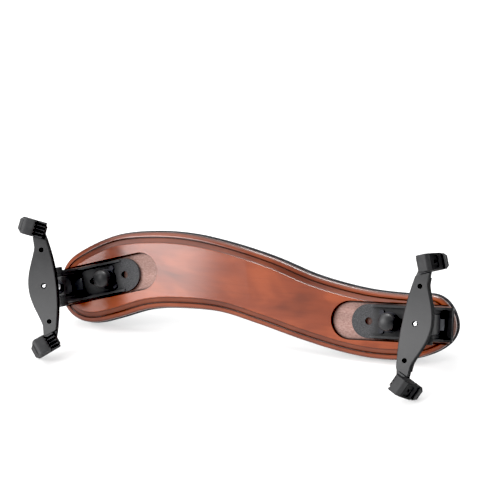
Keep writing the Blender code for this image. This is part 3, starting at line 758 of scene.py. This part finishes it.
def make_board():
    outline = board_outline()
    board = from_bmesh("maple_board", slab(outline, BOARD_RINGS, 0.0), STAND)
    slot = [(SLOT_OPEN_END, SLOT_HALF_WIDTH)]
    slot += arc((SLOT_HALF_WIDTH - SLOT_REACH, 0), SLOT_HALF_WIDTH, 90, 270, 48)
    slot += [(SLOT_OPEN_END, -SLOT_HALF_WIDTH)]
    legs = [leg_frame(name) for name in SIDE]
    for leg in legs:
        cut_prism(board, leg, slot, -SLOT_DEPTH, SLOT_OPEN_END)
        cut_cylinder(board, leg, INSERT_HOLE_R, (KNOB_X, 0, INSERT_HOLE_BOTTOM), (KNOB_X, 0, 0))
    mesh = board.data
    for look in (WOOD, SANDED, SHADED_WALL_WOOD):
        mesh.materials.append(look)
    in_leg = [leg.inverted() @ STAND for leg in legs]
    for face in mesh.polygons:
        face.material_index = max(slot_look(local @ face.center, (local.to_3x3() @ face.normal).z)
                                  for local in in_leg)
    ease_slot_edges(board)
    mesh = board.data
    mesh.shade_smooth()
    mesh.set_sharp_from_angle(angle=math.radians(38))
    true_normals(board)
    rim_values(board, outline)
    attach(board, "board")
    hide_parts("wood_board")


def make_pad():
    pad = from_bmesh("foam_cushion", slab(board_outline(), PAD_RINGS, PAD_OFFSET), STAND, sharp=60)
    pad.data.materials.append(FOAM)
    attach(pad, "board")
    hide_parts("foam_pad")


# ---------------------------------------------------------------- boots

def boot_outline():
    """The boot's side view (x, z): a floor, and an upright that leans inwards."""
    shift = math.tan(CLAW_LEAN)
    low, high = BOOT_LOW, BOOT_TOP
    inner, outer = CLAW_ROOT - BOOT_HALF_DEPTH, CLAW_ROOT + BOOT_HALF_DEPTH
    inner_top = inner - shift * high
    return in_metres([
        (-4.6, low), (outer - shift * low + 0.9, low), (outer + 0.9, 1.5),
        (outer + 0.6 - shift * 11.5, 11.5), (outer - shift * high - 0.9, high + 0.9),
        (inner_top + 1.2, high), (inner_top + 0.1, high - 1.4), (inner - shift * 3.6, 3.6),
        (inner - shift - 1.6, 1.3), (-3.8, 1.0), (-4.6, 0.3)])


def finger_outline(grow):
    """The side view (x, z) of the claw's finger inside the boot."""
    shift = math.tan(CLAW_LEAN)
    half = FINGER_HALF_DEPTH + grow
    low, high, root = FINGER_LOW, FINGER_TOP + grow, CLAW_ROOT * MM
    return [(root - half - shift * low, low), (root + half - shift * low, low),
            (root + half - shift * high, high), (root - half - shift * high, high)]


def pocket_outline():
    x, y = POCKET_HALF_WIDTH - POCKET_CORNER, POCKET_HALF_HEIGHT - POCKET_CORNER
    points = []
    for i, centre in enumerate(((x, y), (-x, y), (-x, -y), (x, -y))):
        points += arc(centre, POCKET_CORNER, 90 * i, 90 * i + 90, 6)
    return points


def pocket_frame(claw):
    """Y up the boot's outer face, and Z out of it."""
    sine, cosine = math.sin(POCKET_LEAN), math.cos(POCKET_LEAN)
    turned = frame_matrix((0, 1, 0), (-sine, 0, cosine), (cosine, 0, sine), (0, 0, 0))
    return claw @ Matrix.Translation(POCKET_CENTRE) @ turned


def make_boot(name, end):
    """A rubber boot on a claw: ribs in its mouth, a pocket outside, and room for the finger."""
    upright = Matrix.Rotation(math.radians(90), 4, "X")
    place = claw_frame(name, SIDE[name] if end == "upper" else -SIDE[name])
    bm = bmesh.new()
    add_prism(bm, boot_outline(), -CLAW_HALF_WIDTH, CLAW_HALF_WIDTH, upright)
    boot = from_bmesh(f"{name}_{end}_boot", bm, place, sharp=30)
    soften(boot, BOOT_ROUND, segments=3, angle=25)
    bake(boot)
    bm = bmesh.new()
    for i in range(GRIP_GROOVES):
        y = (i - (GRIP_GROOVES - 1) / 2) * GRIP_PITCH
        add_prism(bm, in_metres(GROOVE_SIDE), y - GRIP_HALF_WIDTH, y + GRIP_HALF_WIDTH, upright)
    cut(boot, bm, place)
    pocket = pocket_frame(place)
    cut_prism(boot, pocket, pocket_outline(), -POCKET_DEPTH, CUT_REACH)
    cut_cylinder(boot, pocket, HOLE_R, (0, HOLE_Y, -HOLE_DEPTH), (0, HOLE_Y, CUT_REACH), 28)
    half = FINGER_HALF_WIDTH + GAP
    cut_prism(boot, place, finger_outline(GAP), -half, half, upright)
    for look in (RUBBER, MOUTH_RUBBER_LIT, SHADED_RUBBER):
        boot.data.materials.append(look)
    # Painted looks: shade on faces that look sideways and on groove floors, a lighter tone in the mouth
    for face in boot.data.polygons:
        across = face.center.x + math.tan(CLAW_LEAN) * face.center.z
        if abs(face.normal.z) < FRONT_FACING or 0 < face.center.z < GROOVE_FLOOR:
            face.material_index = SHADED_BOOT_LOOK
        elif across < BOOT_INNER_X and face.normal.z > 0:
            face.material_index = LIT_MOUTH_LOOK
    boot.data.shade_smooth()
    boot.data.set_sharp_from_angle(angle=math.radians(40))
    even_shine(boot)
    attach(boot, name + "_fork_body")
    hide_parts(f"{name}_rubber_boot_{end}")


# ---------------------------------------------------------------- carried-over shapes

def finish(node, look, body, place, width, shaded_side_look=None):
    """The CAD node's own shape in a frame of its own, with edges softened by a width.

    Faces that look across the frame's Z may have a second look, a darker copy that paints shade on them.
    """
    bm = bmesh.new()
    bm.from_mesh(frame["nodes"][node].data)
    bmesh.ops.transform(bm, matrix=place.inverted(), verts=bm.verts)
    bmesh.ops.remove_doubles(bm, verts=bm.verts, dist=WELD)
    bmesh.ops.dissolve_limit(bm, angle_limit=FLAT, verts=bm.verts, edges=bm.edges)
    piece = from_bmesh(node + "_finished", bm, place, sharp=32)
    if width:
        soften(piece, width, segments=2, angle=40)
        even_shine(piece)
    piece.data.materials.clear()
    piece.data.materials.append(look)
    if shaded_side_look:
        piece.data.materials.append(shaded_side_look)
        for face in piece.data.polygons:
            face.material_index = 0 if abs(face.normal.z) > FRONT_FACING else 1
    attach(piece, body)
    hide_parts(node)


def make_knob(name, at_knob):
    """A low dome with a soft shoulder, on a neck, hollow under the screw's end."""
    shoulder = KNOB_TOP - KNOB_DOME
    profile = [(0, KNOB_BORE_TOP), (KNOB_BORE_R, KNOB_BORE_TOP), (KNOB_BORE_R, KNOB_BASE)]
    profile += [(KNOB_R - inwards * MM, KNOB_BASE + rise * MM) for inwards, rise in KNOB_NECK]
    for i in range(DOME_STEPS + 1):
        angle = math.radians(90 * i / DOME_STEPS)
        profile.append((KNOB_R * math.cos(angle) ** DOME_FULLNESS,
                        shoulder + KNOB_DOME * math.sin(angle) ** DOME_FULLNESS))
    bm = bmesh.new()
    edge = [bm.verts.new((r, 0, z)) for r, z in profile]
    lines = [bm.edges.new(pair) for pair in zip(edge, edge[1:])]
    bmesh.ops.spin(bm, geom=edge + lines, axis=(0, 0, 1), cent=(0, 0, 0), angle=math.tau, steps=72)
    bmesh.ops.remove_doubles(bm, verts=bm.verts, dist=WELD / 2)
    knob = from_bmesh(name + "_knob_cap", bm, at_knob, sharp=45)
    knob.data.materials.append(KNOB_PLASTIC)
    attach(knob, name + "_knob")
    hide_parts(name + "_lock_knob")


def make_post(name, fork):
    """A screw with a real thread, one pitch for each turn of the fork, and a plain spigot."""
    node = name + "_threaded_post"
    low = min((fork.inverted() @ vertex.co).z for vertex in frame["nodes"][node].data.vertices)
    bm = bmesh.new()
    add_cylinder(bm, POST_ROOT_R, (0, 0, low), (0, 0, POST_SHOULDER - SHOULDER_GAP))
    add_cylinder(bm, POST_SPIGOT_R, (0, 0, POST_SHOULDER - SPIGOT_ROOT), (0, 0, POST_TIP - TIP_BEVEL))
    bmesh.ops.create_cone(bm, cap_ends=True, segments=48, radius1=POST_SPIGOT_R,
                          radius2=POST_SPIGOT_R * TIP_TAPER, depth=TIP_BEVEL,
                          matrix=Matrix.Translation((0, 0, POST_TIP - TIP_BEVEL / 2)))
    start = low + THREAD_START
    steps = int((POST_SHOULDER - THREAD_RUNOUT - start) / POST_PITCH * THREAD_STEPS)
    # The thread's section, as (radius, share of a pitch)
    root = POST_ROOT_R - THREAD_OVERLAP
    section = [(root, -0.39), (POST_R, -0.07), (POST_R, 0.07), (root, 0.39)]
    rings = []
    for i in range(steps + 1):
        angle, z = math.tau * i / THREAD_STEPS, start + POST_PITCH * i / THREAD_STEPS
        rings.append([bm.verts.new((r * math.cos(angle), r * math.sin(angle), z + share * POST_PITCH))
                      for r, share in section])
    for near, far in zip(rings, rings[1:]):
        for i in range(4):
            bm.faces.new((near[i], near[(i + 1) % 4], far[(i + 1) % 4], far[i]))
    bm.faces.new(rings[0])
    bm.faces.new(rings[-1])
    post = from_bmesh(name + "_screw_post", bm, fork, sharp=30)
    post.data.materials.append(STEEL)
    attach(post, name + "_post")
    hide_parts(node)


def make_leg(name):
    leg, post, fork = leg_frame(name), post_frame(name), fork_frame(name)
    at_knob = leg @ Matrix.Translation((KNOB_X, 0, 0))
    finish(name + "_slider_plate", SLIDER_PLASTIC, name + "_slider", leg, 0.2 * MM)
    make_knob(name, at_knob)
    finish(name + "_knob_screw", STEEL, name + "_knob", at_knob, 0)
    finish(name + "_clamp_washer", BLACK_STEEL, "board", at_knob, 0.12 * MM)
    finish(name + "_threaded_insert", BRASS, "board", at_knob, 0)
    finish(name + "_detent_spring", SPRING_STEEL, name + "_slider", leg, 0)
    for end in ("upper", "lower"):
        finish(f"{name}_hinge_pin_{end}", STEEL, name + "_slider", leg, 0)
        make_boot(name, end)
    finish(name + "_hinge_block", BLOCK_PLASTIC, name + "_leg", post, 0.15 * MM)
    finish(name + "_threaded_sleeve", BLACK_STEEL, name + "_leg", post, 0.1 * MM)
    make_post(name, fork)
    finish(name + "_fork", FORK_PLASTIC, name + "_fork_body", fork, 0.25 * MM, FORK_SIDE_SHADED)


# ---------------------------------------------------------------- floor, light and camera

def make_floor():
    bm = bmesh.new()
    bmesh.ops.create_grid(bm, x_segments=1, y_segments=1, size=8)
    floor = from_bmesh("studio_floor", bm, Matrix())
    tree = Tree("pale_paper", 0.7)
    tree.color(tree.ramp(tree.noise(6, 2), [(0.3, (0.8, 0.8, 0.8)), (0.7, (0.84, 0.84, 0.84))]))
    floor.data.materials.append(tree.material)


def direction(azimuth, elevation):
    """From the object towards a place around it, where azimuth 0 is the front, in radians."""
    return Vector((math.sin(azimuth) * math.cos(elevation), -math.cos(azimuth) * math.cos(elevation),
                   math.sin(elevation)))


def aim(data, azimuth, elevation, distance=0.0):
    """A lamp that shines at the object from an azimuth and elevation in degrees."""
    towards = direction(math.radians(azimuth), math.radians(elevation))
    lamp = bpy.data.objects.new(data.name, data)
    bpy.context.scene.collection.objects.link(lamp)
    lamp.location = towards * distance
    lamp.rotation_euler = towards.to_track_quat("Z", "Y").to_euler()


def make_lights():
    """A broad light from the upper left, a softbox that shines in the varnish, and one behind."""
    sun = bpy.data.lights.new("left", "SUN")
    sun.angle = math.radians(60)
    sun.energy = 1.2
    aim(sun, -80, 66)
    box = bpy.data.lights.new("front", "AREA")
    box.size = 1.7
    box.energy = 82
    aim(box, -34, 24, 3.6)
    strip = bpy.data.lights.new("back", "AREA")
    strip.size = 0.6
    strip.energy = 28
    strip.use_shadow = False
    aim(strip, 170, 62, 2.5)


def make_world():
    world = bpy.data.worlds.new("studio")
    bpy.context.scene.world = world
    world.use_nodes = True
    background = world.node_tree.nodes["Background"]
    background.inputs["Color"].default_value = (1, 1, 1, 1)
    background.inputs["Strength"].default_value = 0.35


def make_camera():
    """A long lens, to the right of the front and above."""
    towards = direction(CAMERA_AZIMUTH, CAMERA_ELEVATION)
    right = Vector((math.cos(CAMERA_AZIMUTH), math.sin(CAMERA_AZIMUTH), 0))
    camera = bpy.data.objects.new("camera", bpy.data.cameras.new("camera"))
    camera.data.lens = 142.2
    camera.data.sensor_width = 36
    camera.matrix_world = frame_matrix(right, towards.cross(right), towards, CAMERA_PLACE)
    bpy.context.scene.collection.objects.link(camera)
    bpy.context.scene.camera = camera


def set_tones():
    """Plain tones, a little brighter, with the darkest ones brought down to black."""
    view = bpy.context.scene.view_settings
    view.view_transform = "Standard"
    view.exposure = 0.5
    view.use_curve_mapping = True
    view.curve_mapping.black_level = (0.018, 0.018, 0.018)


make_board()
make_pad()
for leg_name in SIDE:
    make_leg(leg_name)
make_floor()
make_world()
make_lights()
make_camera()
set_tones()
